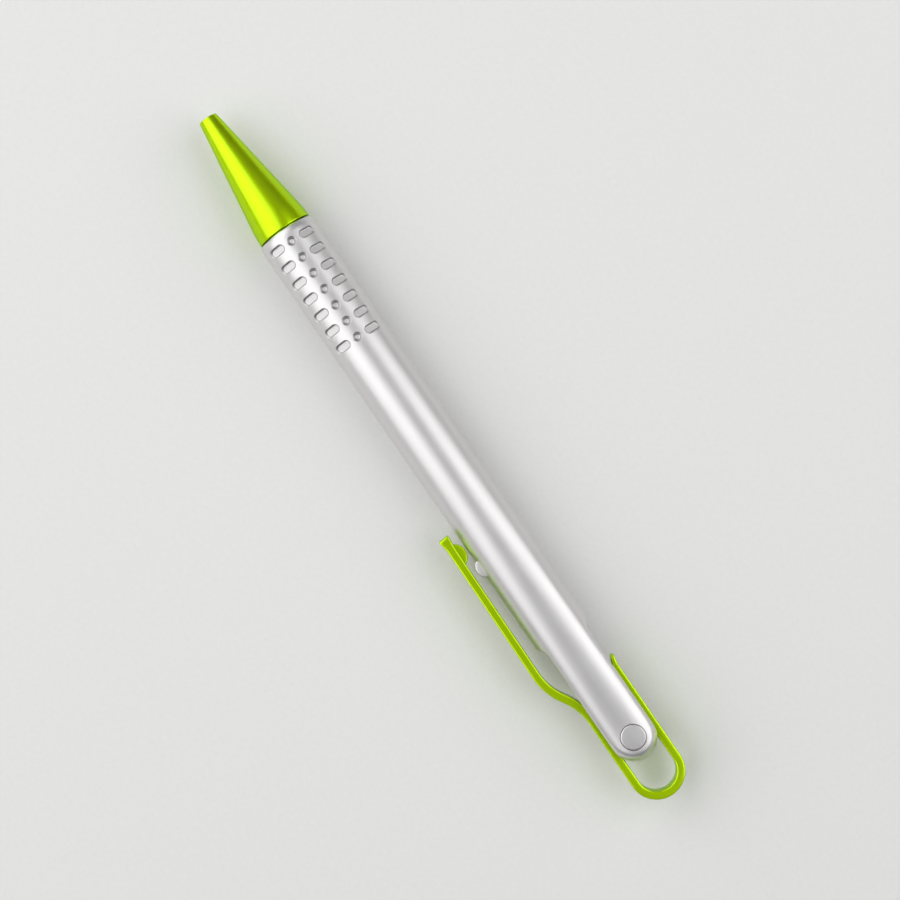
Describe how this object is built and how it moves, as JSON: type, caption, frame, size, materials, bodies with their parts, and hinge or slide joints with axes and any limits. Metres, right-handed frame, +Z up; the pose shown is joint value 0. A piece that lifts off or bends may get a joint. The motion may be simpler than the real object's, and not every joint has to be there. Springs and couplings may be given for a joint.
{
  "type": "retractable ballpoint pen",
  "caption": "Retractable ballpoint pen with a dimpled grip, a conical nose and a bent clip band that loops round the tail and is pressed as the button.",
  "frame": {"origin": "on the ground under the middle of the pen's outline, with the barrel lying on it", "axes": "+X along the pen from the nose to the tail, +Z up, the clip on the -Y side; the pen's axis is at y 1.6 mm, z 5.25 mm"},
  "size_m": [0.1396, 0.0137, 0.0105],
  "materials": {
    "barrel_silver": "satin silver lacquer",
    "disc_silver": "satin silver lacquer",
    "nose_lime": "lime metallic lacquer",
    "band_lime": "lime metallic lacquer",
    "cam_plastic": "moulded white",
    "tube_plastic": "translucent natural",
    "ink": "thick blue ink",
    "tip_brass": "turned",
    "ball_carbide": "ground ball",
    "spring_steel": "drawn wire"
  },
  "bodies": {
    "barrel": {"barrel": "barrel_silver", "end_disc": "disc_silver", "cam_sleeve": "cam_plastic"},
    "nose": {"nose_cone": "nose_lime", "return_spring": "spring_steel"},
    "button": {"clip_band": "band_lime", "plunger": "cam_plastic"},
    "refill": {"refill_tube": "tube_plastic", "ink_column": "ink", "writing_tip": "tip_brass", "rotor": "cam_plastic"},
    "ball": {"writing_ball": "ball_carbide"}
  },
  "joints": [
    {"name": "button_press", "type": "slide", "parent": "barrel", "child": "button", "axis": [-1, 0, 0], "range_m": [0, 0.0055], "stiffness_N_per_m": 250, "springref_m": -0.004},
    {"name": "refill_slide", "type": "slide", "parent": "barrel", "child": "refill", "axis": [-1, 0, 0], "range_m": [0, 0.0055], "deforming": ["return_spring"]},
    {"name": "nose_unscrew", "type": "hinge", "parent": "barrel", "child": "nose", "pos_m": [-0.04657, 0.0016, 0.00525], "axis": [-1, 0, 0], "range_deg": [0, 1080]},
    {"name": "ball_roll", "type": "hinge", "parent": "refill", "child": "ball", "pos_m": [-0.06728, 0.0016, 0.00525], "axis": [0, 1, 0], "continuous": true}
  ],
  "couplings": [
    {"joint": "refill_slide", "follows": "button_press", "ratio": 1}
  ]
}
